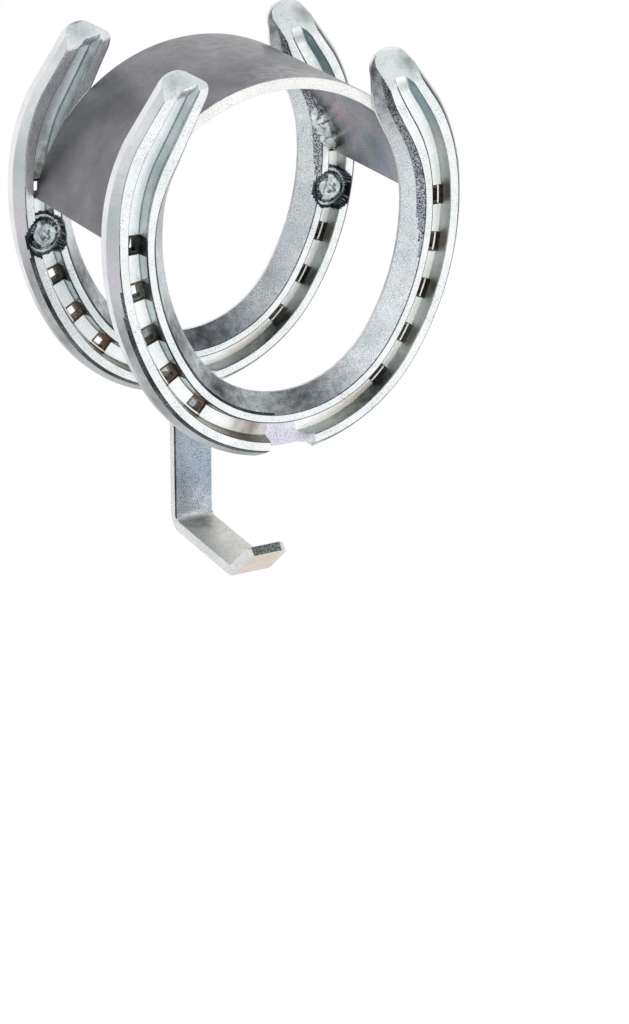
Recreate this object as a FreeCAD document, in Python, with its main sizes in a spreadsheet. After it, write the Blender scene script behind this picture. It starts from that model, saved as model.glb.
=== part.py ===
"""Bridle rack: two horseshoes, one flat on the wall and one in front of it, joined by a curved
band that a bridle's crown lies on, with a bent strip hook below.

Frame: millimetres, +Z up, +Y into the wall. The origin is on the wall plane, in the middle of the
back shoe's toe. The ground faces of both shoes look towards -Y.
"""
import FreeCAD, Part
import math
import os

import Sketcher
from FreeCAD import Placement, Rotation, Vector

SIZES = [
    # the bar that the shoes are bent from, seen in cross-section
    ("web_width", 22.0, "width of the shoe's flat foot face"),
    ("shoe_thickness", 8.0, "foot face to ground face"),
    ("edge_height", 3.8, "upright part of the outer edge, from the foot face"),
    ("outer_bevel", 3.0, "how far the outer edge leans in, up to the ground face"),
    ("outer_rib", 3.2, "ground face outside the crease"),
    ("crease_width", 6.7, "crease at the ground face"),
    ("crease_depth", 4.6, "crease, from the ground face"),
    ("crease_outer_draft", 1.1, "lean of the crease's outer wall"),
    ("crease_inner_draft", 0.6, "lean of the crease's inner wall"),
    ("inner_rib", 2.9, "ground face inside the crease"),
    ("inner_land", 1.3, "upright part of the inner edge, from the foot face"),
    # the outline of half a shoe, along the middle of its foot face, from the toe to the heel
    ("toe_radius", 49.5, "bend at the toe"),
    ("toe_sweep", 56.2, "degrees of that bend in one half"),
    ("quarter_radius", 88.2, "bend at the quarter"),
    ("quarter_sweep", 39.0, "degrees"),
    ("side_radius", 53.8, "bend towards the heel"),
    ("side_sweep", 25.4, "degrees"),
    ("heel_run", 28.4, "straight end of the branch"),
    ("heel_taper", 1.8, "narrowing of each edge of the foot face along that straight end"),
    ("heel_corner_outer", 8.0, "rounding of the heel's outer corner"),
    ("heel_corner_inner", 5.5, "rounding of the heel's inner corner"),
    ("heel_bevel_run", 12.0, "how far the bevelled heel reaches down the ground face"),
    ("heel_bevel_bulge", 1.2, "how far that bevel bulges"),
    ("heel_tip_edge", 1.2, "thickness left at the tip of the heel"),
    # nail holes, in both branches
    ("nail_first", 37.2, "toe to the first nail hole, along the branch"),
    ("nail_pitch", 16.1, "from one nail hole to the next"),
    ("nail_count", 5, "nail holes in a branch"),
    ("nail_head_length", 6.6, "recess for the nail's head, along the branch"),
    ("nail_head_depth", 0.9, "that recess, below the crease's floor"),
    ("nail_hole_length", 4.4, "through hole, along the branch"),
    ("nail_hole_width", 3.2, "through hole, across the branch"),
    # the notch that is pressed in the toe
    ("notch_cut", 3.2, "how deep the notch bites in the outer edge"),
    ("notch_depth", 4.9, "ledge of the notch, from the ground face"),
    ("notch_slope", 4.5, "run of the notch's slanted right wall"),
    # curved band between the shoes
    ("band_radius", 58.0, "inner radius of the band"),
    ("band_thickness", 4.0, "flat bar"),
    ("band_depth", 64.0, "the gap between the shoes"),
    ("band_half_angle", 78.0, "degrees from the top to an end"),
    ("band_top", 119.5, "top of the band above the middle of the toe"),
    # hook strip
    ("strip_width", 15.0, "flat strip"),
    ("strip_thickness", 4.0, "flat strip"),
    ("strip_notch_play", 0.2, "clearance on each side of the strip in the toe notch"),
    ("strip_wall_gap", 1.5, "the strip stands this far off the wall"),
    ("strip_drop", 53.0, "top end of the strip to the foot of the hook, on its middle line"),
    ("strip_reach", 43.7, "the level run, corner to corner on its middle line"),
    ("strip_lip", 17.8, "the raised lip, from its corner on its middle line"),
    ("strip_fall", 3.5, "degrees the level run falls towards the front"),
    ("strip_lip_rise", 41.0, "degrees the lip rises"),
    ("strip_bend_radius", 4.6, "first bend, middle line"),
    ("strip_lip_bend_radius", 4.2, "second bend, middle line"),
    ("strip_end_round", 2.0, "rounded corners of the lip"),
    # wall screws, in the fourth nail hole of each branch
    ("screw_station", 4, "which nail hole takes the screw, from the toe"),
    ("screw_shank", 3.9, "diameter of the plain part, inside the shoe"),
    ("screw_thread", 4.5, "diameter over the thread, from the wall plane on"),
    ("screw_hole_play", 0.2, "clearance round the thread in the shoe"),
    ("screw_length", 30.0, "below the head"),
    ("screw_point", 5.0, "length of the point"),
    ("screw_head", 9.6, "diameter of the pan head"),
    ("screw_head_height", 3.3, "pan head"),
    ("screw_head_crown", 2.0, "the sloping part of the pan head"),
    ("screw_head_flat", 5.6, "diameter of the pan head's flat top"),
    ("recess_width", 5.0, "cross recess, tip to tip"),
    ("recess_slot", 1.3, "cross recess, width of a slot"),
    ("recess_depth", 1.9, "cross recess"),
    ("spot_face", 15.0, "diameter of the seat milled for the screw's head"),
    # weld beads
    ("back_bead", 4.4, "radius of the beads on the back shoe"),
    ("front_bead", 4.8, "radius of the beads on the front shoe"),
    ("back_bead_start", 61.0, "degrees from the top of the band"),
    ("back_bead_end", 74.0, "degrees"),
    ("front_bead_start", 50.0, "degrees"),
    ("front_bead_end", 68.0, "degrees"),
    ("bead_nose", 0.8, "length of a bead's tapering end over the bead's radius"),
    ("bead_tip", 0.45, "radius of that end's tip over the bead's radius"),
    ("hook_bead", 2.9, "radius of the bead on the hook strip"),
    ("hook_bead_length", 12.5, "along the toe notch"),
    ("overshoot", 1.0, "how far a cutting outline reaches past the metal"),
]
# A new corner is drawn this far from its sketch's origin, before its formulas pull it into place
ROUGH_PLACE = 10.0
LEAST_CUT = 0.01  # mm3: a pocket that takes away less has missed the metal

doc = FreeCAD.newDocument("bridle_rack")
sheet = doc.addObject("Spreadsheet::Sheet", "sizes")
for row, (alias, value, note) in enumerate(SIZES, start=1):
    sheet.set(f"A{row}", alias)
    sheet.set(f"B{row}", str(value))
    sheet.setAlias(f"B{row}", alias)
    sheet.set(f"C{row}", note)
doc.recompute()


def size(alias):
    return float(sheet.get(alias))


def bind(thing, prop, formula):
    """Tie a property to a formula of the sizes, whose names are written there with a leading $."""
    thing.setExpression(prop, formula.replace("$", "sizes."))


def plane_of(body, role):
    return next(f for f in body.Origin.OriginFeatures if f.Role == role)


def new_sketch(body, name, role):
    sketch = body.newObject("Sketcher::SketchObject", name)
    sketch.AttachmentSupport = [(plane_of(body, role), "")]
    sketch.MapMode = "FlatFace"
    return sketch


def at_height(sketch, formula):
    """Lift a sketch off its origin plane, along the plane's normal."""
    bind(sketch, "AttachmentOffset.Base.z", formula)


def closed_outline(sketch, corners):
    """Draw a closed outline through the corners and pin each one to its two formulas."""
    count = len(corners)
    first = sketch.GeometryCount
    start = [Vector(ROUGH_PLACE * math.cos(turn), ROUGH_PLACE * math.sin(turn), 0)
             for turn in (2 * math.pi * i / count for i in range(count))]
    for i in range(count):
        sketch.addGeometry(Part.LineSegment(start[i], start[(i + 1) % count]), False)
    for i in range(count):
        sketch.addConstraint(Sketcher.Constraint("Coincident", first + i, 2, first + (i + 1) % count, 1))
    for i, (across, along) in enumerate(corners):
        for kind, formula, there in (("DistanceX", across, start[i].x), ("DistanceY", along, start[i].y)):
            number = sketch.addConstraint(Sketcher.Constraint(kind, -1, 1, first + i, 1, there))
            bind(sketch, f"Constraints[{number}]", formula)


def along_path(pieces, start=(0.0, 0.0), heading=0.0):
    """Geometry of a chain of tangent pieces: ("line", length) or ("arc", radius, degrees)."""
    x, y = start
    turn = math.radians(heading)
    chain = []
    for piece in pieces:
        if piece[0] == "line":
            end = (x + piece[1] * math.cos(turn), y + piece[1] * math.sin(turn))
            chain.append(Part.LineSegment(Vector(x, y, 0), Vector(*end, 0)))
        else:
            radius, sweep = piece[1], math.radians(piece[2])
            side = math.copysign(1.0, sweep)
            centre = (x - side * radius * math.sin(turn), y + side * radius * math.cos(turn))
            stops = []
            for share in (0.0, 0.5, 1.0):
                angle = turn + share * sweep
                stops.append(Vector(centre[0] + side * radius * math.sin(angle),
                                    centre[1] - side * radius * math.cos(angle), 0))
            chain.append(Part.Arc(*stops))
            end = (stops[2].x, stops[2].y)
            turn += sweep
        x, y = end
    return chain


def branch_point(distance, outwards=0.0):
    """Point and heading at a distance from the toe along the middle line of the foot face."""
    x = z = heading = 0.0
    left = distance
    for name in ("toe", "quarter", "side"):
        radius, sweep = size(name + "_radius"), math.radians(size(name + "_sweep"))
        turn = min(sweep, left / radius)
        x += radius * (math.sin(heading + turn) - math.sin(heading))
        z += radius * (math.cos(heading) - math.cos(heading + turn))
        heading += turn
        left -= turn * radius
    x += left * math.cos(heading) + outwards * math.sin(heading)
    z += left * math.sin(heading) - outwards * math.cos(heading)
    return x, z, heading


def branch_length():
    bends = sum(size(n + "_radius") * math.radians(size(n + "_sweep")) for n in ("toe", "quarter", "side"))
    return bends + size("heel_run")


def turned_outline(sketch, corners, place, mirrored):
    """Draw a closed outline given along and across the branch, in the sketch's own plane."""
    x, z, heading = place
    side = -1.0 if mirrored else 1.0
    points = [Vector(side * (x + a * math.cos(heading) + o * math.sin(heading)),
                     z + a * math.sin(heading) - o * math.cos(heading), 0) for a, o in corners]
    return [sketch.addGeometry(Part.LineSegment(points[i], points[(i + 1) % len(points)]), False)
            for i in range(len(points))]


# Levels across the shoe's section, counted outwards from the middle line of the foot face
GROUND_OUT = "($web_width / 2 - $outer_bevel)"
CREASE_OUT = f"({GROUND_OUT} - $outer_rib)"
CREASE_IN = f"({CREASE_OUT} - $crease_width)"
GROUND_IN = f"({CREASE_IN} - $inner_rib)"
FLOOR_OUT = f"({CREASE_OUT} - $crease_outer_draft)"
FLOOR_IN = f"({CREASE_IN} + $crease_inner_draft)"

crease_out = size("web_width") / 2 - size("outer_bevel") - size("outer_rib")
crease_in = crease_out - size("crease_width")
floor_out = crease_out - size("crease_outer_draft")
floor_in = crease_in + size("crease_inner_draft")
floor_middle = (floor_out + floor_in) / 2

screw_x, screw_z, screw_heading = branch_point(
    size("nail_first") + (size("screw_station") - 1) * size("nail_pitch"), floor_middle)


def shoe(name):
    """Concave fullered horseshoe, foot face on the plane Y = 0 and toe on Z = 0."""
    body = doc.addObject("PartDesign::Body", name)
    body.Label = name

    # The bar: flat foot face, leaning outer edge, two ribs with the crease between, concave inside
    section = new_sketch(body, name + "_section", "YZ_Plane")
    closed_outline(section, [
        ("0", "$web_width / 2"),
        ("0", "-$web_width / 2"),
        ("-$edge_height", "-$web_width / 2"),
        ("-$shoe_thickness", f"-{GROUND_OUT}"),
        ("-$shoe_thickness", f"-{CREASE_OUT}"),
        ("$crease_depth - $shoe_thickness", f"-{FLOOR_OUT}"),
        ("$crease_depth - $shoe_thickness", f"-{FLOOR_IN}"),
        ("-$shoe_thickness", f"-{CREASE_IN}"),
        ("-$shoe_thickness", f"-{GROUND_IN}"),
        ("-$inner_land", "$web_width / 2"),
    ])

    # The bend: three tangent arcs and the straight heel
    line = new_sketch(body, name + "_middle_line", "XZ_Plane")
    names = ("toe", "quarter", "side")
    chain = along_path([("arc", size(n + "_radius"), size(n + "_sweep")) for n in names]
                       + [("line", size("heel_run"))])
    for geometry in chain:
        line.addGeometry(geometry, False)
    line.addConstraint(Sketcher.Constraint("Coincident", 0, 1, -1, 1))
    line.addConstraint(Sketcher.Constraint("PointOnObject", 0, 3, -2))
    for i in range(len(chain) - 1):
        line.addConstraint(Sketcher.Constraint("Tangent", i, 2, i + 1, 1))
    for i, bend in enumerate(names):
        radius = line.addConstraint(Sketcher.Constraint("Radius", i, size(bend + "_radius")))
        bind(line, f"Constraints[{radius}]", f"${bend}_radius")
        sweep = line.addConstraint(Sketcher.Constraint("Angle", i, math.radians(size(bend + "_sweep"))))
        bind(line, f"Constraints[{sweep}]", f"${bend}_sweep")
    run = line.addConstraint(Sketcher.Constraint("Distance", 3, size("heel_run")))
    bind(line, f"Constraints[{run}]", "$heel_run")
    doc.recompute()

    half = body.newObject("PartDesign::AdditivePipe", name + "_half")
    half.Profile = section
    half.Spine = line
    doc.recompute()
    both = body.newObject("PartDesign::Mirrored", name + "_both")
    both.Originals = [half]
    both.MirrorPlane = (plane_of(body, "YZ_Plane"), [""])
    body.Tip = both
    doc.recompute()

    cut_heels(body, name)
    cut_nail_holes(body, name)
    cut_toe_notch(body, name)
    return body


def pocket(body, name, sketch, depth=None):
    """Cut a sketch's outline away, to a depth or right through both ways, and check that it cut."""
    doc.recompute()
    before = body.Shape.Volume
    cut = body.newObject("PartDesign::Pocket", name)
    cut.Profile = sketch
    if depth is None:
        cut.Midplane = True
        cut.Type = "ThroughAll"
    else:
        cut.Type = "Length"
        bind(cut, "Length", depth)
    doc.recompute()
    if not body.Shape.Volume < before - LEAST_CUT:
        raise ValueError(f"{name} cuts nothing")
    return cut


def cut_heels(body, name):
    """Narrow both heels and round their outline, then bevel them from the ground face to the tip."""
    half_web = size("web_width") / 2
    tip_web, run = half_web - size("heel_taper"), size("heel_run")
    outer, inner = size("heel_corner_outer"), size("heel_corner_inner")
    beyond = half_web
    x, z, heading = branch_point(branch_length())
    trim = new_sketch(body, name + "_heel_outline", "XZ_Plane")
    for side in (1.0, -1.0):
        def at(along, outwards):
            return Vector(side * (x + along * math.cos(heading) + outwards * math.sin(heading)),
                          z + along * math.sin(heading) - outwards * math.cos(heading), 0)
        for sign, radius in ((1.0, outer), (-1.0, inner)):
            edge, clear = sign * tip_web, sign * (half_web + beyond)
            middle = edge - sign * radius
            root = math.sqrt(0.5)
            corner = [at(-radius, edge), at(radius * (root - 1), middle + sign * radius * root),
                      at(0, middle)]
            rim = [at(0, middle), at(beyond, middle), at(beyond, clear), at(-run, clear),
                   at(-run, sign * half_web), at(-radius, edge)]
            trim.addGeometry(Part.Arc(*corner), False)
            for start, end in zip(rim, rim[1:]):
                trim.addGeometry(Part.LineSegment(start, end), False)
    pocket(body, name + "_heel_corners", trim)

    top = z + size("web_width")
    bevel = new_sketch(body, name + "_heel_bevel_line", "YZ_Plane")
    ground, edge = -size("shoe_thickness"), -size("heel_tip_edge")
    low = Vector(ground, top_of_heel() - size("heel_bevel_run"), 0)
    high = Vector(edge, top_of_heel(), 0)
    middle = (low + high) * 0.5
    outwards = Vector(low.y - high.y, high.x - low.x, 0).normalize()
    belly = middle + outwards * size("heel_bevel_bulge")
    bevel.addGeometry(Part.Arc(low, belly, high), False)
    past = ground - size("overshoot")
    corners = [high, Vector(edge, top, 0), Vector(past, top, 0), Vector(past, low.y, 0), low]
    for start, end in zip(corners, corners[1:]):
        bevel.addGeometry(Part.LineSegment(start, end), False)
    pocket(body, name + "_heel_bevel", bevel)


def top_of_heel():
    """Height of the rounded heel's highest point above the toe's middle line."""
    x, z, heading = branch_point(branch_length())
    radius = size("heel_corner_outer")
    outwards = size("web_width") / 2 - size("heel_taper") - radius
    return z - radius * math.sin(heading) - outwards * math.cos(heading) + radius


def cut_nail_holes(body, name):
    """Punch the nail holes: a recess for the head, then a smaller hole through the web."""
    heads = new_sketch(body, name + "_nail_heads", "XZ_Plane")
    at_height(heads, "$shoe_thickness")
    holes = new_sketch(body, name + "_nail_holes", "XZ_Plane")
    head, hole = size("nail_head_length") / 2, size("nail_hole_length") / 2
    half_width = size("nail_hole_width") / 2
    for number in range(int(size("nail_count"))):
        place = branch_point(size("nail_first") + number * size("nail_pitch"))
        for mirrored in (False, True):
            turned_outline(heads, [(-head, crease_in), (head, crease_in), (head, floor_out),
                                   (-head, floor_out)], place, mirrored)
            turned_outline(holes, [(-hole, floor_middle - half_width), (hole, floor_middle - half_width),
                                   (hole, floor_middle + half_width), (-hole, floor_middle + half_width)],
                           place, mirrored)
    pocket(body, name + "_nail_head_recesses", heads, "$crease_depth + $nail_head_depth")
    pocket(body, name + "_nail_through_holes", holes)


def cut_toe_notch(body, name):
    """Press the toe notch: a ledge across the crease, and a bite through the outer edge."""
    width = "($strip_width / 2 + $strip_notch_play)"
    ledge = new_sketch(body, name + "_notch_ledge", "XY_Plane")
    at_height(ledge, f"-{FLOOR_IN}")
    closed_outline(ledge, [
        (f"-{width}", "-$shoe_thickness - $overshoot"),
        (f"-{width}", "$notch_depth - $shoe_thickness"),
        (f"{width} - $notch_slope", "$notch_depth - $shoe_thickness"),
        (width, "-$shoe_thickness"),
        (width, "-$shoe_thickness - $overshoot"),
    ])
    pocket(body, name + "_notch", ledge, "$web_width")
    bite = new_sketch(body, name + "_notch_bite", "XZ_Plane")
    closed_outline(bite, [
        (f"-{width}", "$notch_cut - $web_width / 2"),
        (width, "$notch_cut - $web_width / 2"),
        (width, "-$web_width"),
        (f"-{width}", "-$web_width"),
    ])
    pocket(body, name + "_bite", bite)


def drill_for_screws(body, name):
    """Mill a round seat across both ribs for each screw's head, then drill its clearance hole."""
    seats = new_sketch(body, name + "_screw_seats", "XZ_Plane")
    at_height(seats, "$shoe_thickness")
    holes = new_sketch(body, name + "_screw_holes", "XZ_Plane")
    for sketch, diameter in ((seats, "$spot_face"), (holes, "$screw_thread + 2 * $screw_hole_play")):
        for side in (1.0, -1.0):
            centre = Vector(side * screw_x, screw_z, 0)
            rough = size("screw_thread")
            circle = sketch.addGeometry(Part.Circle(centre, Vector(0, 0, 1), rough / 2), False)
            number = sketch.addConstraint(Sketcher.Constraint("Diameter", circle, rough))
            bind(sketch, f"Constraints[{number}]", diameter)
            sketch.addConstraint(Sketcher.Constraint("DistanceX", -1, 1, circle, 3, centre.x))
            sketch.addConstraint(Sketcher.Constraint("DistanceY", -1, 1, circle, 3, centre.y))
    pocket(body, name + "_screw_seat_cuts", seats, "$crease_depth")
    pocket(body, name + "_screw_hole_cuts", holes)


def band():
    """Curved flat bar between the shoes, its edges against their faces."""
    body = doc.addObject("PartDesign::Body", "arch_band")
    body.Label = "arch_band"
    ring = new_sketch(body, "band_end_view", "XZ_Plane")
    inner, outer = size("band_radius"), size("band_radius") + size("band_thickness")
    half = math.radians(size("band_half_angle"))

    def at(radius, angle):
        return Vector(radius * math.sin(angle), radius * math.cos(angle), 0)
    ring.addGeometry(Part.Arc(at(inner, -half), at(inner, 0), at(inner, half)), False)
    ring.addGeometry(Part.Arc(at(outer, -half), at(outer, 0), at(outer, half)), False)
    ring.addGeometry(Part.LineSegment(at(inner, half), at(outer, half)), False)
    ring.addGeometry(Part.LineSegment(at(inner, -half), at(outer, -half)), False)
    for arc, formula in ((0, "$band_radius"), (1, "$band_radius + $band_thickness")):
        ring.addConstraint(Sketcher.Constraint("Coincident", arc, 3, -1, 1))
        number = ring.addConstraint(Sketcher.Constraint("Radius", arc, (inner, outer)[arc]))
        bind(ring, f"Constraints[{number}]", formula)
    # an arc's first point is its right end: it runs anticlockwise
    for arc, end, radial, point in ((0, 1, 2, 1), (1, 1, 2, 2), (0, 2, 3, 1), (1, 2, 3, 2)):
        ring.addConstraint(Sketcher.Constraint("Coincident", arc, end, radial, point))
    for radial in (2, 3):
        ring.addConstraint(Sketcher.Constraint("PointOnObject", -1, 1, radial))
    ring.addConstraint(Sketcher.Constraint("Symmetric", 0, 1, 0, 2, -2))
    number = ring.addConstraint(Sketcher.Constraint("Angle", 0, 2 * half))
    bind(ring, f"Constraints[{number}]", "2 * $band_half_angle")
    doc.recompute()
    bar = body.newObject("PartDesign::Pad", "band_bar")
    bar.Profile = ring
    bind(bar, "Length", "$band_depth")
    return body


def strip():
    """Flat strip bent to a hook: down from the toe notch, forwards, then up in a lip."""
    body = doc.addObject("PartDesign::Body", "hook_strip")
    body.Label = "hook_strip"
    fall, rise = math.radians(size("strip_fall")), math.radians(size("strip_lip_rise"))
    first, second = size("strip_bend_radius"), size("strip_lip_bend_radius")
    turn_one, turn_two = math.pi / 2 - fall, rise + fall
    cut_one, cut_two = first * math.tan(turn_one / 2), second * math.tan(turn_two / 2)
    # the sketch's axes are +Y and +Z of the rack, so forwards is minus
    pieces = [("line", size("strip_drop") - cut_one), ("arc", first, -math.degrees(turn_one)),
              ("line", size("strip_reach") - cut_one - cut_two),
              ("arc", second, -math.degrees(turn_two)), ("line", size("strip_lip") - cut_two)]
    route = new_sketch(body, "strip_route", "YZ_Plane")
    for geometry in along_path(pieces, heading=-90.0):
        route.addGeometry(geometry, False)
    route.addConstraint(Sketcher.Constraint("Coincident", 0, 1, -1, 1))
    route.addConstraint(Sketcher.Constraint("PointOnObject", 0, 2, -2))
    # both bends run clockwise, and a sketch counts an arc's ends anticlockwise
    for piece, end, following, begin in ((0, 2, 1, 2), (1, 1, 2, 1), (2, 2, 3, 2), (3, 1, 4, 1)):
        route.addConstraint(Sketcher.Constraint("Tangent", piece, end, following, begin))
    cut_first = "$strip_bend_radius * tan((90 - $strip_fall) / 2 * 1deg)"
    cut_second = "$strip_lip_bend_radius * tan(($strip_lip_rise + $strip_fall) / 2 * 1deg)"
    for kind, number, value, formula in (
            ("Distance", 0, pieces[0][1], f"$strip_drop - {cut_first}"),
            ("Radius", 1, first, "$strip_bend_radius"),
            ("Angle", 1, turn_one, "90 - $strip_fall"),
            ("Distance", 2, pieces[2][1], f"$strip_reach - {cut_first} - {cut_second}"),
            ("Radius", 3, second, "$strip_lip_bend_radius"),
            ("Angle", 3, turn_two, "$strip_lip_rise + $strip_fall"),
            ("Distance", 4, pieces[4][1], f"$strip_lip - {cut_second}")):
        constraint = route.addConstraint(Sketcher.Constraint(kind, number, value))
        bind(route, f"Constraints[{constraint}]", formula)
    section = new_sketch(body, "strip_section", "XY_Plane")
    closed_outline(section, [
        ("-$strip_width / 2", "-$strip_thickness / 2"), ("$strip_width / 2", "-$strip_thickness / 2"),
        ("$strip_width / 2", "$strip_thickness / 2"), ("-$strip_width / 2", "$strip_thickness / 2")])
    doc.recompute()
    bent = body.newObject("PartDesign::AdditivePipe", "strip_bent")
    bent.Profile = section
    bent.Spine = route
    doc.recompute()
    front = min(vertex.Y for vertex in bent.Shape.Vertexes)
    across = [f"Edge{i}" for i, edge in enumerate(bent.Shape.Edges, start=1)
              if abs(edge.Length - size("strip_thickness")) < 0.01
              and edge.CenterOfMass.y < front + size("strip_thickness")]
    rounded = body.newObject("PartDesign::Fillet", "strip_lip_corners")
    rounded.Base = (bent, across)
    bind(rounded, "Radius", "$strip_end_round")
    return body


def screw(name, side):
    """Pan-head wood screw with a cross recess, its head on the milled seat."""
    body = doc.addObject("PartDesign::Body", name)
    body.Label = name
    # half profile, with the head's seat on the sketch's level line and the point below it
    profile = new_sketch(body, name + "_profile", "XY_Plane")
    head, shank, thread = size("screw_head") / 2, size("screw_shank") / 2, size("screw_thread") / 2
    plain = size("shoe_thickness") - size("crease_depth")
    height, crown = size("screw_head_height"), size("screw_head_crown")
    length, point = size("screw_length"), size("screw_point")
    top, flat = Vector(0, -height, 0), Vector(size("screw_head_flat") / 2, -height, 0)
    rim, under = Vector(head, crown - height, 0), Vector(head, 0, 0)
    corners = [top, flat, rim, under, Vector(shank, 0, 0), Vector(shank, plain, 0),
               Vector(thread, plain, 0), Vector(thread, length - point, 0), Vector(0, length, 0), top]
    for start, end in zip(corners, corners[1:]):
        profile.addGeometry(Part.LineSegment(start, end), False)
    doc.recompute()
    turned = body.newObject("PartDesign::Revolution", name + "_turned")
    turned.Profile = profile
    turned.ReferenceAxis = (profile, ["V_Axis"])
    turned.Angle = 360
    doc.recompute()
    cross = new_sketch(body, name + "_cross", "XZ_Plane")
    at_height(cross, "$screw_head_height")
    long, short = "$recess_width / 2", "$recess_slot / 2"
    closed_outline(cross, [
        (long, f"-{short}"), (long, short), (short, short), (short, long), (f"-{short}", long),
        (f"-{short}", short), (f"-{long}", short), (f"-{long}", f"-{short}"), (f"-{short}", f"-{short}"),
        (f"-{short}", f"-{long}"), (short, f"-{long}"), (short, f"-{short}")])
    pocket(body, name + "_cross_cut", cross, "$recess_depth")
    bind(body, "Placement.Base.y", "$crease_depth - $shoe_thickness")
    body.Placement.Base.x = side * screw_x
    body.Placement.Base.z = screw_z
    return body


def bead(name, seat, y_level, kind, inside, side):
    """Weld bead with tapering ends, in the corner between the band and a shoe's face."""
    inner, outer = size("band_radius"), size("band_radius") + size("band_thickness")
    ring = inner if inside else outer
    centre = Vector(0, y_level, band_height)
    ends = []
    for limit in ("start", "end"):
        tilt = math.radians(size(f"{kind}_{limit}")) * side
        ends.append(centre + Vector(ring * math.sin(tilt), 0, ring * math.cos(tilt)))
    way = ends[1] - ends[0]
    rod = doc.addObject("Part::Cylinder", name + "_rod")
    bind(rod, "Radius", f"${kind}")
    rod.Height = way.Length
    rod.Placement = Placement(ends[0], Rotation(Vector(0, 0, 1), way))
    noses = []
    for point, onwards in ((ends[0], way * -1), (ends[1], way)):
        nose = doc.addObject("Part::Cone", f"{name}_nose_{len(noses)}")
        bind(nose, "Radius1", f"${kind}")
        bind(nose, "Radius2", f"${kind} * $bead_tip")
        bind(nose, "Height", f"${kind} * $bead_nose")
        nose.Placement = Placement(point, Rotation(Vector(0, 0, 1), onwards))
        noses.append(nose)
    metal = doc.addObject("Part::MultiFuse", name + "_metal")
    metal.Shapes = [rod] + noses
    wall = doc.addObject("Part::Cylinder", name + "_wall")
    bind(wall, "Radius", "$band_radius" if inside else "$band_radius + $band_thickness")
    bind(wall, "Height", f"2 * (${kind} + $overshoot)")
    wall_end = centre + Vector(0, size(kind) + size("overshoot"), 0)
    wall.Placement = Placement(wall_end, Rotation(Vector(0, 0, 1), Vector(0, -1, 0)))
    if inside:
        kept = doc.addObject("Part::Common", name + "_kept")
    else:
        kept = doc.addObject("Part::Cut", name + "_kept")
    kept.Base, kept.Tool = metal, wall
    laid = doc.addObject("Part::Cut", name)
    laid.Base, laid.Tool = kept, seat
    laid.Label = name
    return laid


def bar_bead(name, shoe_body, strip_body):
    """Weld bead on the ledge of the toe notch, over the end of the hook strip."""
    rod = doc.addObject("Part::Cylinder", name + "_rod")
    bind(rod, "Radius", "$hook_bead")
    bind(rod, "Height", "$hook_bead_length")
    front = -size("strip_wall_gap") - size("strip_thickness")
    left_end = Vector(-size("hook_bead_length") / 2, front, strip_top)
    rod.Placement = Placement(left_end, Rotation(Vector(0, 0, 1), Vector(1, 0, 0)))
    clear = doc.addObject("Part::Cut", name + "_clear")
    clear.Base, clear.Tool = rod, shoe_body
    laid = doc.addObject("Part::Cut", name)
    laid.Base, laid.Tool = clear, strip_body
    laid.Label = name
    return laid


back_shoe = shoe("back_shoe")
drill_for_screws(back_shoe, "back_shoe")
front_shoe = shoe("front_shoe")
bind(front_shoe, "Placement.Base.y", "-$shoe_thickness - $band_depth")

arch_band = band()
bind(arch_band, "Placement.Base.y", "-$shoe_thickness")
bind(arch_band, "Placement.Base.z", "$band_top - $band_radius - $band_thickness")

hook_strip = strip()
bind(hook_strip, "Placement.Base.y", "-$strip_wall_gap - $strip_thickness / 2")
bind(hook_strip, "Placement.Base.z", "$notch_cut - $web_width / 2")

screws = [screw("wall_screw_right", 1.0), screw("wall_screw_left", -1.0)]
doc.recompute()

band_height = arch_band.Placement.Base.z
strip_top = hook_strip.Placement.Base.z
back_level = arch_band.Placement.Base.y
front_level = front_shoe.Placement.Base.y
beads = [bar_bead("hook_weld", back_shoe, hook_strip)]
# the front beads lie on a flat foot face, so all that is in front of its plane is kept clear of them
front_space = doc.addObject("Part::Box", "front_space")
bind(front_space, "Width", "$shoe_thickness")
bind(front_space, "Length", "2 * ($band_radius + $band_thickness + $front_bead)")
bind(front_space, "Height", "$band_top")
bind(front_space, "Placement.Base.x", "-($band_radius + $band_thickness + $front_bead)")
bind(front_space, "Placement.Base.y", "-2 * $shoe_thickness - $band_depth")
for hand, side in (("left", -1.0), ("right", 1.0)):
    beads.append(bead(f"arch_back_weld_{hand}", back_shoe, back_level, "back_bead", True, side))
    beads.append(bead(f"arch_front_weld_{hand}", front_space, front_level, "front_bead", side > 0, side))
doc.recompute()

for thing in doc.Objects:
    if "Invalid" in thing.State or "Error" in thing.State:
        raise ValueError(f"{thing.Name} is {thing.State}")

os.makedirs("parts", exist_ok=True)
for piece in [back_shoe, front_shoe, arch_band, hook_strip] + screws + beads:
    shape = piece.Shape
    if shape.isNull() or not shape.isValid():
        raise ValueError(f"{piece.Label} has no valid shape")
    print(f"{piece.Label}: {len(shape.Solids)} solid, {shape.Volume:.0f} mm3, {shape.BoundBox}")
    shape.exportStep(f"parts/{piece.Label}.step")
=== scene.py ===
import math

import bmesh
import bpy
from mathutils import Matrix, Vector, noise


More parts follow.
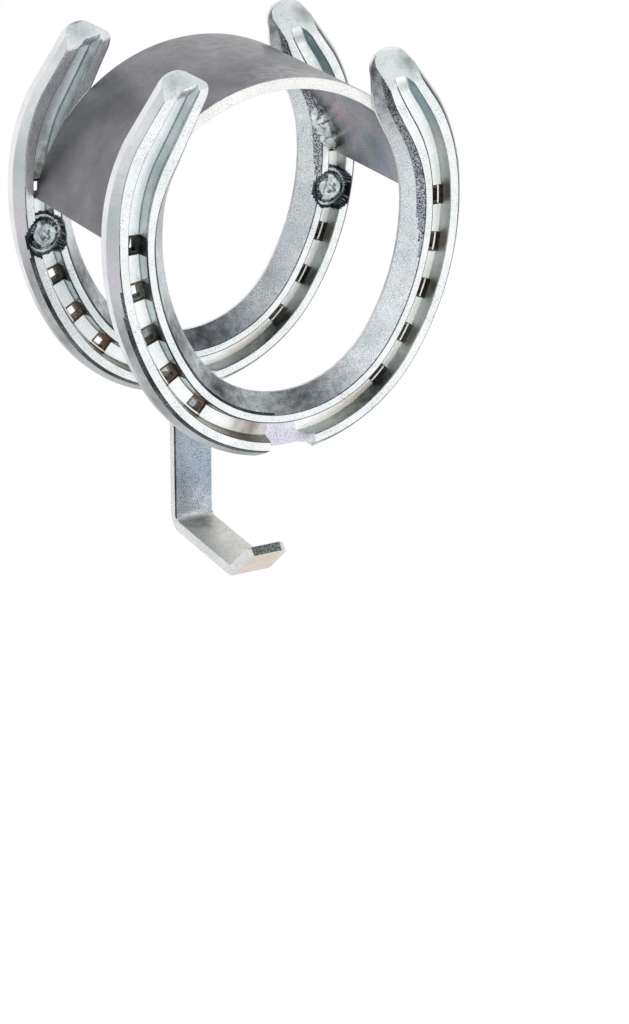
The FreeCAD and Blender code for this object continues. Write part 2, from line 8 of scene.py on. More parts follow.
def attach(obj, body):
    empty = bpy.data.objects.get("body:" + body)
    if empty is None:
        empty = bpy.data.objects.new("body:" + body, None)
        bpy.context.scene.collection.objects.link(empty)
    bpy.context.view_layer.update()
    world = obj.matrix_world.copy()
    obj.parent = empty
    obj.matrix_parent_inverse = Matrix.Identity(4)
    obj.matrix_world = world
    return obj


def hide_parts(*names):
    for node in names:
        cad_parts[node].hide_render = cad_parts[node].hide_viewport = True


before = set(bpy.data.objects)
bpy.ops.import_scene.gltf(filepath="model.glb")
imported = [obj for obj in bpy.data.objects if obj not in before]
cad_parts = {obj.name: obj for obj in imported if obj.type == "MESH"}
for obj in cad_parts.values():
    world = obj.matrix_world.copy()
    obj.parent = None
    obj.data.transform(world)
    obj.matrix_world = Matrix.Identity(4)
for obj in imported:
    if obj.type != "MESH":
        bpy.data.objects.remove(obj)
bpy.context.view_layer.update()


# ---- The two shoes: hot-rolled steel bar with a concave inner slope and a nail crease, bent round,
# punched for nails, notched at the toe and ground off at the heels, then plated with bright zinc.
# Lengths are in millimetres. The bar is drawn out straight, cut, and only then bent.
MM = 0.001
# half a shoe along its middle line: radius and sweep of each bend, then the straight heel
BENDS = ((49.5, 56.2), (88.2, 39.0), (53.8, 25.4))
HEEL_RUN = 28.4
BRANCH = sum(r * math.radians(a) for r, a in BENDS) + HEEL_RUN
NAILS = [37.2 + 16.1 * n for n in range(5)]
SCREW_HOLE = 3
# half the bar's width, its thickness, and the height of the crease's floor
HALF_WEB, THICK, FLOOR = 11.0, 8.0, 3.4
# how far the toe notch bites into the outer edge, and the height of its ledge
NOTCH_BITE, NOTCH_LEDGE = 3.2, 3.1
# how far down the heel is ground, on the right and on the left
LONG_GROUND, SHORT_GROUND = 12.0, 5.5
FRONT_FOOT = -72.0


def on_branch(distance, outwards):
    """Point of the foot face at a distance from the toe and from the middle line, right branch."""
    x = z = heading = 0.0
    left = distance
    for radius, sweep in BENDS:
        turn = min(math.radians(sweep), left / radius)
        x += radius * (math.sin(heading + turn) - math.sin(heading))
        z += radius * (math.cos(heading) - math.cos(heading + turn))
        heading += turn
        left -= turn * radius
    return (x + left * math.cos(heading) + outwards * math.sin(heading),
            z + left * math.sin(heading) - outwards * math.cos(heading))


SEAT = on_branch(NAILS[SCREW_HOLE], 1.2)
TOP = max(on_branch(BRANCH - 4 + 0.2 * k, o)[1] for k in range(21) for o in (0.0, -3.0, -5.0))
# The bar's section, from its outer foot edge round: place across the bar, height above the foot
# face, radius, and the kind of face of that corner and of the run after it, which picks its plating
# copy and its painted shade; arris and faint corners are painted dark lines of shade. The four
# plain corners are the edges of the nail holes.
SECTION = (
    (HALF_WEB, 0.0, 0.5, "edge", "edge"),
    (HALF_WEB, 3.8, 0.9, "edge", "bevel"),
    (8.0, THICK, 0.6, "arris", "rib"),
    (4.8, THICK, 0.4, "faint", "outer_wall"),
    (3.7, FLOOR, 0.5, "outer_wall", "floor"),
    (2.8, FLOOR, 0.0, "floor", "floor"),
    (-0.4, FLOOR, 0.0, "floor", "floor"),
    (-1.3, FLOOR, 0.4, "faint", "inner_wall"),
    (-1.9, THICK, 0.45, "arris", "rib"),
    (-4.8, THICK, 0.7, "arris", "slope"),
    (-HALF_WEB, 1.3, 0.5, "edge", "edge"),
    (-HALF_WEB, 0.0, 0.4, "edge", "edge"),
    (-0.4, 0.0, 0.0, "edge", "edge"),
    (2.8, 0.0, 0.0, "edge", "edge"))
# Kinds of face. Each takes its own copy of the plating, painted lighter or darker for how the light
# falls on it: glint is a painted highlight, arris and faint are painted dark lines of shade, recess is
# painted shade in and beside the nail holes, and worn is a speckled band with painted shade.
FINISHES_AND_SHADES = ["edge", "bevel", "rib", "outer_wall", "floor", "inner_wall", "slope", "recess", "cap",
            "notch", "arris", "worn", "faint", "glint"]


def step(value, start, end):
    """0 before the start, 1 after the end."""
    share = min(max((value - start) / (end - start), 0.0), 1.0)
    return share * share * (3 - 2 * share)


def lesser(a, b, soft):
    """The lesser of two heights, rounded where they cross."""
    share = max(soft - abs(a - b), 0.0) / soft
    return min(a, b) - share * share * soft * 0.25


def widened(o, side, share):
    """Towards the heels the bevel and the slope run out, and the ribs beside them grow wider."""
    old = (-11.0, -4.8, -1.9, 4.8, 8.0, 11.0)
    new = (-11.0, -6.6, -2.0, 5.2, 9.7, 11.0) if side < 0 else (-11.0, -6.0, -1.9, 4.8, 8.4, 11.0)
    for i in range(5):
        if old[i] <= o <= old[i + 1]:
            at = (o - old[i]) / (old[i + 1] - old[i])
            return o + share * (new[i] + (new[i + 1] - new[i]) * at - o)
    return o


def cut_and_bent(spot, front, screws):
    """Where a point of the straight bar ends up, and which cut last took metal off it."""
    station, o, h = spot
    distance, side = abs(station), math.copysign(1.0, station)
    cut = None
    in_crease = 3.3 < h < 7.99 and -1.95 < o < 4.85
    punched = [1 - step(abs(distance - n), 3.15, 3.35)
               for k, n in enumerate(NAILS) if k != SCREW_HOLE or not screws]
    if max(punched) > 0 and in_crease and o < 3.7:
        if o < -0.85:
            o += (-1.9 - o) * max(punched)
        h -= 0.9 * max(punched) * step(h, 8.5, 5.0) * (1 - step(o, 3.2, 3.7))
    if distance < 11.5:
        bite = 1 - step(distance, 7.6, 7.8)
        edge = HALF_WEB - NOTCH_BITE * bite
        if station < -7.6:
            edge = min(edge, 8.0 + math.sqrt(max(9 - max(0.0, 10.9 + station) ** 2, 0.0)))
        o = min(o, edge)
        if o > -1.4 and distance < 7.9 and h > 0.5:
            rise = max(station - 3.1, 0.0) / 4.6 * 4.9 + 6 * (1 - bite)
            cut = "notch" if h > NOTCH_LEDGE + rise else None
            h = lesser(h, NOTCH_LEDGE + rise, 0.4)
    if h > 0.6:
        o = widened(o, side, step(distance, 100, 132))
    # both edges come in towards the heel, and its corners are round; the right heel is ground
    # further in on its inner side
    end = BRANCH - distance
    corner = 8.0 if o > 0 else 5.5
    edge = 10.97 - 1.8 * min(max((HEEL_RUN - end) / (HEEL_RUN - corner), 0), 1)
    if side > 0 and o < 0:
        edge -= 4.4 * (1 - step(end, 2, 22))
    if end < corner:
        edge += math.sqrt(max(corner ** 2 - (corner - end) ** 2, 0)) - corner
    o *= max(edge, 0.8) / 11
    if side > 0:
        distance -= 3.0 * step(distance, BRANCH - 16, BRANCH)
    x, z = on_branch(distance, o)
    # the ground heel, in which the crease runs out: long on the right, short on the left
    run = LONG_GROUND if side > 0 else SHORT_GROUND
    share = (z - (TOP - run)) / run
    if side > 0:
        share -= (x - 45) * 0.018
    else:
        share += (x - 45) * 0.03
    if share > -0.5 and h > 0.6:
        if in_crease:
            h += (THICK - h) * 0.8 * step(share, -0.5, 0.3)
        limit = THICK - 6.8 * share + 4.8 * share * (1 - share)
        limit -= 0.06 * abs(o - 2.0) * step(share, 0, 0.5)
        if side > 0:
            limit -= 0.3 * max(o - 1.0, 0) * step(share, -0.1, 0.5)
        if h > max(limit, 0.9) and share > -0.1:
            cut = "cap"
            h = lesser(h, max(limit, 0.9), 0.5)
    # the screw's seat, milled across both ribs
    away = math.hypot(x - SEAT[0], z - SEAT[1])
    if screws and away < 8 and h > FLOOR:
        # the ring round the screw's head and the seat's wall take the dark arris copy: painted shadow
        # under the head and painted shade at the wall
        cut = "arris" if away < 5.9 or away > 6.75 else "seat"
        h = FLOOR + (h - FLOOR) * step(away, 6.7, 7.0)
    worn = 0.5 + 0.5 * noise.noise(Vector((side * x * 0.11, front * 0.3, z * 0.11)))
    return Vector((side * x, front - h + 0.15 * worn * step(h, 0.5, 2.5), z)), cut


def drawn_out(mesh, end, move):
    """Extrude an end face by a move, and give the new end."""
    made = bmesh.ops.extrude_face_region(mesh, geom=[end])["geom"]
    end = [g for g in made if isinstance(g, bmesh.types.BMFace)][0]
    bmesh.ops.translate(mesh, verts=end.verts[:], vec=Vector(move))
    return end


def finished(name, mesh, metals, sharp=40.0):
    """Object from a bmesh in millimetres, smooth but for its hard edges, with outward normals."""
    bmesh.ops.scale(mesh, vec=Vector((MM, MM, MM)), verts=mesh.verts)
    bmesh.ops.remove_doubles(mesh, verts=mesh.verts, dist=0.004 * MM)
    bmesh.ops.recalc_face_normals(mesh, faces=mesh.faces)
    for face in mesh.faces:
        face.smooth = True
    for edge in mesh.edges:
        edge.smooth = len(edge.link_faces) == 2 and edge.calc_face_angle(0) < math.radians(sharp)
    data = bpy.data.meshes.new(name)
    mesh.to_mesh(data)
    mesh.free()
    for metal in metals:
        data.materials.append(metal)
    made = bpy.data.objects.new(name, data)
    bpy.context.scene.collection.objects.link(made)
    return made


def shoe(name, front, screws, metals):
    """A shoe with its foot face at Y = front; screws says that it has screws in its fourth holes."""
    mesh = bmesh.new()
    mesh.faces.new([mesh.verts.new((-BRANCH, o, h)) for o, h, *_ in SECTION])
    for o, h, radius, *_ in SECTION:
        if radius:
            vert = min(mesh.verts, key=lambda v: (v.co.y - o) ** 2 + (v.co.z - h) ** 2)
            a, b = [e.other_vert(vert).co - vert.co for e in vert.link_edges]
            bmesh.ops.bevel(mesh, geom=[vert], offset=radius / math.tan(a.angle(b) / 2), segments=4,
                            profile=0.5, affect="VERTICES", material=-1)
    for edge in mesh.edges[:]:
        cuts = int(edge.calc_length() / 0.8)
        if cuts:
            bmesh.ops.subdivide_edges(mesh, edges=[edge], cuts=cuts)

    # ends of the bar's lengths: finer at the nail holes, the notch, the seats and the heels
    nails = [n for k, n in enumerate(NAILS) if not (screws and k == SCREW_HOLE)]
    marks = [0.0, 2.9, 3.2, 7.3, 7.55, 7.7, 7.85, 8.2, 11.0, BRANCH]
    marks += [n + side * d for n in nails for side in (-1, 1)
              for d in (2.2, 3.0, 3.15, 3.3, 3.45, 3.6)]
    marks += [BRANCH - 9 * (1 - math.cos(math.radians(a))) for a in range(3, 91, 6)]
    marks += [BRANCH - 0.35 * k for k in range(17, 48)]
    if screws:
        marks += [NAILS[SCREW_HOLE] + 0.35 * k for k in range(-25, 26)]
    marks = sorted(marks)
    for a, b in zip(marks, marks[1:]):
        count = math.ceil((b - a) / 0.8)
        marks = marks + [a + (b - a) * k / count for k in range(1, count)]
    marks = sorted(marks + [-m for m in marks])
    marks = [a for a, b in zip(marks, marks[1:]) if b - a > 0.01] + [marks[-1]]
    drawn_out(mesh, mesh.faces[:][0], (len(marks) - 1, 0, 0))
    long = [e for e in mesh.edges if abs(e.verts[0].co.x - e.verts[1].co.x) > 1]
    bmesh.ops.subdivide_edges(mesh, edges=long, cuts=len(marks) - 2)
    for vert in mesh.verts:
        vert.co.x = marks[round(vert.co.x + BRANCH)]

    # square nail holes, punched through the crease's floor
    holes = []
    for n in [side * n for n in nails for side in (-1, 1)]:
        faces = [f for f in mesh.faces if abs(f.calc_center_median().x - n) < 2.2]
        faces = [f for f in faces
                 if -0.4 < f.calc_center_median().y < 2.8 and f.calc_center_median().z < 3.5]
        rims = [e for f in faces for e in f.edges if sum(g in faces for g in e.link_faces) == 1]
        bmesh.ops.delete(mesh, geom=faces, context="FACES")
        holes += bmesh.ops.bridge_loops(mesh, edges=rims)["faces"]
        for vert in {v for e in rims for v in e.verts if v.co.z < 1}:
            vert.co.x = n + (vert.co.x - n) * 0.8
            vert.co.y = 1.0 + (vert.co.y - 1.2) * 0.65
    holes = set(holes)

    known = {}
    for face in mesh.faces:
        middle = face.calc_center_median()
        station, o, h = middle
        key = round(o, 2), round(h, 2)
        if key not in known:
            runs = []
            for i, (o1, h1, _, corner, run) in enumerate(SECTION):
                a, b = Vector((o1, h1)), Vector(SECTION[(i + 1) % len(SECTION)][:2])
                at = min(max((Vector((o, h)) - a).dot(b - a) / (b - a).length_squared, 0), 1)
                runs.append(((Vector((o, h)) - a.lerp(b, at)).length, run))
            corner = min(((Vector((o, h)) - Vector(c[:2])).length, c[3]) for c in SECTION if c[2])
            known[key] = min(runs)[1] if min(runs)[0] < 0.012 else corner[1]
        finish_and_shade = known[key]
        _, cut = cut_and_bent(middle, front, screws)
        punched = any(abs(abs(station) - n) < 3.3 for n in nails)
        # The nail holes and the crease walls beside them take the dark hole copy as painted shade, the
        # floor's outer strip a painted glint; the seat's floor takes the slope's colours.
        if face in holes:
            finish_and_shade = "recess"
        elif punched and -1.95 < o < 4 and 3.2 < h < 7.9:
            finish_and_shade = "glint" if finish_and_shade == "floor" and o > 2.7 else "recess"
        elif cut == "seat":
            finish_and_shade = "slope"
        elif cut:
            finish_and_shade = cut
        # Dark lines and bands of painted shade: beside the inner rib on the slopes, speckled on the
        # right, beside the outer rib on the bevels, and at the crease's outer corners near the toe;
        # paler at the left heel.
        elif finish_and_shade == "slope" and station > 0 and o > -5.2 - 1.9 * step(station, 78, 100):
            finish_and_shade = "worn"
        elif finish_and_shade == "slope" and station < -8 and o > -5.3:
            finish_and_shade = "arris"
        elif finish_and_shade == "bevel" and station < 0 and o < 8.1 + 0.9 * step(station, -98, -74):
            finish_and_shade = "arris"
        elif finish_and_shade == "bevel" and station > 10 and o < 9.3:
            finish_and_shade = "arris"
        elif finish_and_shade == "arris" and station < -104:
            finish_and_shade = "faint"
        elif finish_and_shade == "faint" and o > 4 and abs(station) < 30:
            finish_and_shade = "arris"
        face.material_index = FINISHES_AND_SHADES.index(finish_and_shade)
    for vert in mesh.verts:
        vert.co = cut_and_bent(vert.co, front, screws)[0]
    return finished(name, mesh, metals)


def linear(code):
    """Linear colour of an sRGB hex code."""
    parts = [int(code[i:i + 2], 16) / 255 for i in (0, 2, 4)]
    return [p / 12.92 if p <= 0.04045 else ((p + 0.055) / 1.055) ** 2.4 for p in parts] + [1.0]


def add(tree, kind, inputs=None, **settings):
    """Add a shader node. Inputs are constants or sockets to link; settings are its attributes."""
    made = tree.nodes.new(kind)
    for name, value in settings.items():
        setattr(made, name, value)
    for name, value in (inputs or {}).items():
        if isinstance(value, bpy.types.NodeSocket):
            tree.links.new(value, made.inputs[name])
        else:
            made.inputs[name].default_value = value
    return made


def bright_zinc(name, light, dark, rough=0.34, grain=0.45, contrast=0.12, specks=0.3, patch=6.0,
                bump=0.02, shades_and_heat_tints=(), speck="2b2f33"):
    """Zinc-plated rolled steel: a bright metal that drifts between two greys, with the fine grain
    of the mill scale under it, dark specks in patches, and soft dents. Grain and patches are in
    millimetres, the grain drawn coarse enough to show. On the shoes, band and strip the two greys
    of each copy are set lighter or darker for how the light falls on its faces, as painted light and
    shade. tints are (colour, spot, reach): colour painted round a spot of the part, mostly painted
    shade and painted reflections, and round the welds the heat colours of welding."""
    made = bpy.data.materials.new(name)
    made.use_nodes = True
    tree = made.node_tree
    shader = tree.nodes["Principled BSDF"]
    place = add(tree, "ShaderNodeTexCoord").outputs["Object"]
    cloud = []
    for size, low, high, detail in (
            (14, 0.35, 0.65, 3), (3, 0.3, 0.7, 3), (2.4, 0.2, 0.8, 3), (grain, 0.38, 0.62, 2),
            (grain * 0.8, 0.56, 0.64, 4), (patch, 0.36, 0.62, 3)):
        spots = add(tree, "ShaderNodeTexNoise",
                    {"Vector": place, "Scale": 1 / (size * MM), "Detail": detail})
        cloud.append(add(tree, "ShaderNodeMapRange", {"Value": spots.outputs[0], "From Min": low,
                                                      "From Max": high}).outputs[0])
    drift, wear, dents, fine, dots, patches = cloud
    tint = add(tree, "ShaderNodeMix", {0: drift, 6: linear(light), 7: linear(dark)},
               data_type="RGBA").outputs[2]
    # painted shade, painted reflections and heat colours, each blended in round its spot
    for colour, spot, reach in shades_and_heat_tints:
        away = add(tree, "ShaderNodeVectorMath", {0: place, 1: Vector(spot) * MM},
                   operation="DISTANCE")
        uneven = add(tree, "ShaderNodeMath", {0: wear, 1: 0.3 * reach * MM, 2: away.outputs["Value"]},
                     operation="MULTIPLY_ADD")
        share = add(tree, "ShaderNodeMapRange",
                    {"Value": uneven.outputs[0], "From Max": reach * MM, "To Min": 1.0, "To Max": 0.0},
                    interpolation_type="SMOOTHSTEP").outputs[0]
        tint = add(tree, "ShaderNodeMix", {0: share, 6: tint, 7: linear(colour)},
                   data_type="RGBA").outputs[2]
    deep = add(tree, "ShaderNodeMix", {0: contrast, 6: tint, 7: linear("20262a")},
               data_type="RGBA").outputs[2]
    tint = add(tree, "ShaderNodeMix", {0: fine, 6: tint, 7: deep}, data_type="RGBA").outputs[2]
    amount = add(tree, "ShaderNodeMath", {0: dots, 1: patches}, operation="MULTIPLY").outputs[0]
    amount = add(tree, "ShaderNodeMath", {0: amount, 1: specks}, operation="MULTIPLY").outputs[0]
    tint = add(tree, "ShaderNodeMix", {0: amount, 6: tint, 7: linear(speck)},
               data_type="RGBA").outputs[2]
    tree.links.new(tint, shader.inputs["Base Color"])
    shader.inputs["Metallic"].default_value = 1.0
    gloss = add(tree, "ShaderNodeMapRange",
                {"Value": wear, "To Min": rough - 0.06, "To Max": rough + 0.08})
    tree.links.new(gloss.outputs[0], shader.inputs["Roughness"])
    height = add(tree, "ShaderNodeMath", {0: dents, 1: fine}, operation="ADD").outputs[0]
    relief = add(tree, "ShaderNodeBump",
                 {"Height": height, "Strength": 1.0, "Distance": bump * MM})
    tree.links.new(relief.outputs[0], shader.inputs["Normal"])
    return made


def shoe_finishes_and_shades(tag, y):
    """The plating on each kind of face, in the order of the face kinds, as copies of one bright zinc
    painted lighter or darker for how the light falls on each face, with painted shade and painted
    reflections round spots; y is the level of the crease's floor.
    """
    return [
        # upright edges: painted near white as lit, with painted shade in grey round three spots
        bright_zinc(tag + "_upright_edge", "f6f4f6", "e8e8ec", 0.34, specks=0.2, shades_and_heat_tints=[
            ("a9a8a6", (-52, y, 18), 34), ("b0b5b2", (-20, y, -8), 28), ("6f7276", (62, y, 60), 60)]),
        # bevels: a grey copy with painted reflections and shade, lighter near the left heel, a pink
        # painted reflection, and darker greys towards the toe
        bright_zinc(tag + "_bevel", "cdd3d4", "c6c6cb", 0.30, specks=0.2, shades_and_heat_tints=[
            ("e8ecec", (-58, y, 112), 34), ("b7bfc2", (-68, y, 82), 18), ("d6c9d8", (-69, y, 62), 12),
            ("96969b", (-64, y, 38), 26), ("9a9a98", (-50, y, 16), 24), ("a9b0ac", (-22, y, -3), 26)]),
        # ribs: the lit copy, painted near white as the faces turned to the light
        bright_zinc(tag + "_rib", "f9fbfc", "eef3f4", 0.28, 0.35, 0.14, 0.7),
        # outer crease walls: painted shade, brownish near the toe and dark grey on the right branch,
        # with a pale blue painted reflection near the right heel
        bright_zinc(tag + "_crease_outer_wall", "f2f1e8", "d4d6cf", 0.36, 0.4, 0.2, 0.5, shades_and_heat_tints=[
            ("8b8474", (-18, y, 0), 30), ("5d5e57", (32, y, 9), 28), ("9cb6bd", (52, y, 108), 26)]),
        # crease floors: painted near white as lit, with painted shade near the toe and a warm painted
        # reflection on the right
        bright_zinc(tag + "_crease_floor", "fdffff", "f2f8f8", 0.30, 0.4, 0.08, 0.25, shades_and_heat_tints=[
            ("988a84", (-14, y, 2), 16), ("f2e8d8", (22, y, 5), 16)]),
        # inner crease walls: a pale blue painted reflection, with painted shade on the left branch
        bright_zinc(tag + "_crease_inner_wall", "e8f4fa", "cfdce2", 0.34, 0.4, 0.2, 0.4, shades_and_heat_tints=[
            ("aaa398", (-24, y, 8), 36)]),
        # concave slopes: painted dark reflections and shade, violet near the right heel, dark at the toe
        # and near black on the left, with lighter patches between
        bright_zinc(tag + "_concave_slope", "fafeff", "e8f0f5", 0.36, 0.40, 0.36, 0.7, bump=0.04, shades_and_heat_tints=[
            ("3f3c48", (44, y, 120), 40), ("ccd4d8", (30, y, 28), 14), ("565c60", (5, y, 8), 38),
            ("3a3c40", (-27, y, 16), 24), ("1f2024", (-47, y, 36), 28), ("bdb4b8", (-54, y, 84), 26)]),
        # nail holes: dark grey painted shade inside the holes, with brown patches
        bright_zinc(tag + "_punched_hole", "9a9c92", "4a4842", 0.40, 0.5, 0.5, 1.0, 2.0, 0.06, [
            ("8f7563", (-38, y, 14), 28), ("3e4642", (-60, y, 72), 26), ("7d5f48", (50, y, 60), 40)]),
        # ground heels: painted shade on parts of both heel caps, on their facets
        bright_zinc(tag + "_ground_heel", "eaf1f0", "dae2e1", 0.30, 0.9, 0.08, 0.25, shades_and_heat_tints=[
            ("9fa6a7", (46.5, y, 120), 9), ("8d969a", (32, y, 116), 6), ("b9c2c6", (-41, y, 124), 9)]),
        # toe notch: a lilac painted reflection, painted shade on its right facet, and a small brown mark
        # by the ledge
        bright_zinc(tag + "_toe_notch", "f4f3fc", "e0e0ee", 0.34, 0.5, 0.25, 0.7, shades_and_heat_tints=[
            ("7d8086", (6.5, y - 1, -4), 4), ("6a4436", (1, y, 2.6), 3)]),
        # arrises: dark speckled lines of painted shade along the edges, also round the screw heads and
        # seat walls
        bright_zinc(tag + "_shaded_arris", "7c868b", "22272b", 0.40, 0.55, 0.9, 1.0, patch=1.5),
        # speckled band on the right slopes: a greyer copy painted as shade, darkest near the right heel
        bright_zinc(tag + "_worn_and_shaded_slope", "dfe6ec", "b4bcc4", 0.42, 0.5, 1.0, 0.9, 1.2, 0.05, [
            ("3f3c46", (46, y, 112), 34)]),
        # fainter grey lines of painted shade at the crease corners
        bright_zinc(tag + "_faint_arris", "b8bdbd", "949a9a", 0.36, 0.4, 0.4, 0.8, patch=1.5),
        # painted highlight: a bright strip on the floor beside the nail holes
        bright_zinc(tag + "_hole_rim_glint", "f8f8f4", "f0f0ea", 0.25, specks=0.1),
    ]


back_shoe = shoe("back_shoe_plated", 0.0, True, shoe_finishes_and_shades("back_shoe", -FLOOR))
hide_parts("back_shoe")
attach(back_shoe, "root")

front_shoe = shoe("front_shoe_plated", FRONT_FOOT, False,
                  shoe_finishes_and_shades("front_shoe", FRONT_FOOT - FLOOR))
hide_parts("front_shoe")
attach(front_shoe, "root")


# ---- Arch band: 4 mm flat steel rolled to a bow between the shoes, its long edges softened by
# the mill and its ends sheared square. The welds leave brown, mauve and blue on it.
BAND_CENTRE, BAND_INNER, BAND_OUTER, BAND_HALF_SWEEP = 57.5, 58.0, 62.0, 78


def arch_band():
    mesh = bmesh.new()
    a = math.radians(-BAND_HALF_SWEEP)
    face = mesh.faces.new([mesh.verts.new((r * math.sin(a), y, BAND_CENTRE + r * math.cos(a)))
                           for r, y in ((BAND_INNER, -THICK), (BAND_OUTER, -THICK),
                                        (BAND_OUTER, FRONT_FOOT), (BAND_INNER, FRONT_FOOT))])
    bmesh.ops.spin(mesh, geom=[face], cent=(0, 0, BAND_CENTRE), axis=(0, 1, 0),
                   angle=math.radians(2 * BAND_HALF_SWEEP), steps=2 * BAND_HALF_SWEEP,
                   dvec=(0, 0, 0), use_duplicate=False)
    hard = [e for e in mesh.edges if len(e.link_faces) == 2 and e.calc_face_angle(0) > 1]
    bmesh.ops.bevel(mesh, geom=hard, offset=0.4, segments=3, profile=0.5, affect="EDGES", material=-1)
    for face in mesh.faces:
        x, _, z = face.calc_center_median()
        radius = math.hypot(x, z - BAND_CENTRE)
        face.material_index = 0 if radius > BAND_OUTER - 0.1 else 1 if radius < BAND_INNER + 0.05 else 2
    # The outer face is painted dark grey, lighter towards the front edge, the inner face mid grey with a
    # lighter patch in its middle, and the edges white, as painted light and shade; the brown, mauve,
    # blue and olive round the welds are heat colours.
    outer = bright_zinc("band_outer_face", "8b8a8f", "77767c", 0.34, 0.5, 0.15, 0.3, shades_and_heat_tints=[
        ("b5b3b6", (10, -76, 118), 30)])
    inner = bright_zinc("band_inner_face", "a3a6af", "8f939c", 0.28, 0.5, 0.1, 0.15, shades_and_heat_tints=[
        ("a39ea3", (47, -50, 96), 30), ("c9abb2", (49, -26, 90), 16), ("7c8a97", (52, -42, 82), 14),
        ("b08058", (43, -14, 97), 11), ("6f6b48", (56, -15, 73), 10), ("9fb0a6", (54, -34, 76), 8),
        ("b0a898", (55, -62, 76), 18)])
    edge = bright_zinc("band_edge", "ffffff", "f8f8f6", 0.30, 0.5, 0.2, 0.7)
    return finished("arch_band_plated", mesh, [outer, inner, edge])


band = arch_band()
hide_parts("arch_band")
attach(band, "root")


# ---- Hook strip: 15 x 4 mm flat steel, straight down from the back shoe's toe, bent forwards and
# then up in a lip with rounded corners. It is cut from the same plated flat as the band.
def hook_strip():
    fall, rise = 3.5, 41.0
    half, back, front, top = 7.5, -1.5, -5.5, -7.8
    mesh = bmesh.new()
    end = mesh.faces.new([mesh.verts.new((x, y, top))
                          for x, y in ((-half, back), (half, back), (half, front), (-half, front))])
    heading, before = -90.0, 0.0
    for run, radius, turn in ((53.0, 4.6, 90 - fall), (43.7, 4.2, rise + fall), (17.8, 0, 0)):
        cut = radius * math.tan(math.radians(turn / 2))
        along = Vector((0, math.cos(math.radians(heading)), math.sin(math.radians(heading))))
        end = drawn_out(mesh, end, along * (run - before - cut))
        if turn:
            centre = end.calc_center_median() + Vector((0, along.z, -along.y)) * radius
            spun = bmesh.ops.spin(mesh, geom=[end], cent=centre, axis=(1, 0, 0),
                                  angle=math.radians(-turn), steps=12, dvec=(0, 0, 0),
                                  use_duplicate=False)["geom_last"]
            end = [g for g in spun if isinstance(g, bmesh.types.BMFace)][0]
        heading -= turn
        before = cut
    corners = [e for e in end.edges if e.calc_length() < 5]
    bmesh.ops.bevel(mesh, geom=corners, offset=2.0, segments=6, profile=0.5, affect="EDGES", material=-1)
    hard = [e for e in mesh.edges if len(e.link_faces) == 2 and e.calc_face_angle(0) > 1]
    bmesh.ops.bevel(mesh, geom=hard, offset=0.5, segments=3, profile=0.5, affect="EDGES", material=-1)
    for face in mesh.faces:
        middle, normal = face.calc_center_median(), face.normal
        # the left front corner of the upright run, painted dark as shade
        if normal.x < -0.12 and normal.y < -0.2 and middle.z > -61 and middle.y > -6:
            face.material_index = 5
        elif abs(normal.x) > 0.12 or face.calc_area() < 1.2:
            face.material_index = 2
        elif normal.y < -0.5 and normal.z > 0.6 and middle.y < -55:
            face.material_index = 4
        elif (middle - Vector((0, -30, -30))).dot(normal) > 0:
            face.material_index = 1
        else:
            face.material_index = 0 if normal.y < -0.7 else 3
    # The faces are painted apart for how the light falls on them: the front face blue-grey, lighter near
    # the bend, the outer face warm with greyer painted shade on the upright run and a small brown spot
    # on the lip, and the top dark olive near the bend as painted reflection.
    front = bright_zinc("strip_front_face", "bcc9d8", "a9b5c4", 0.36, 0.42, 0.5, 0.8, bump=0.04, shades_and_heat_tints=[
        ("e9eff5", (0, -5, -59), 19)])
    back = bright_zinc("strip_outer_face", "f2e6d8", "e2d6c8", 0.34, 0.4, 0.2, 0.3, shades_and_heat_tints=[
        ("b4b9c0", (0, -3, -30), 34), ("a08e7c", (0, -59, -49), 6)])
    edge = bright_zinc("strip_edge", "eef0ee", "e0e2e1", 0.32, 0.4, 0.2, 0.6, patch=1.5)
    top = bright_zinc("strip_top_face", "ecece4", "dfe0d8", 0.36, 0.38, 0.25, 0.6, bump=0.04, shades_and_heat_tints=[
        ("5f6055", (0, -10, -63), 12)])
    tip = bright_zinc("strip_sheared_end", "aab4b1", "7a8581", 0.34, 0.55, 0.8, 1.0, patch=1.2)
    corner = bright_zinc("strip_shaded_corner", "7c868b", "22272b", 0.40, 0.5, 0.9, 1.0, patch=1.5)
    return finished("hook_strip_plated", mesh, [front, back, edge, top, tip, corner])


strip = hook_strip()
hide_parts("hook_strip")
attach(strip, "root")


# ---- Weld beads: short runs of shiny ripples in the corners between the band and the shoes, and
# over the strip's end in the back shoe's toe notch. They were laid before the plating.
RIPPLE = 1.9


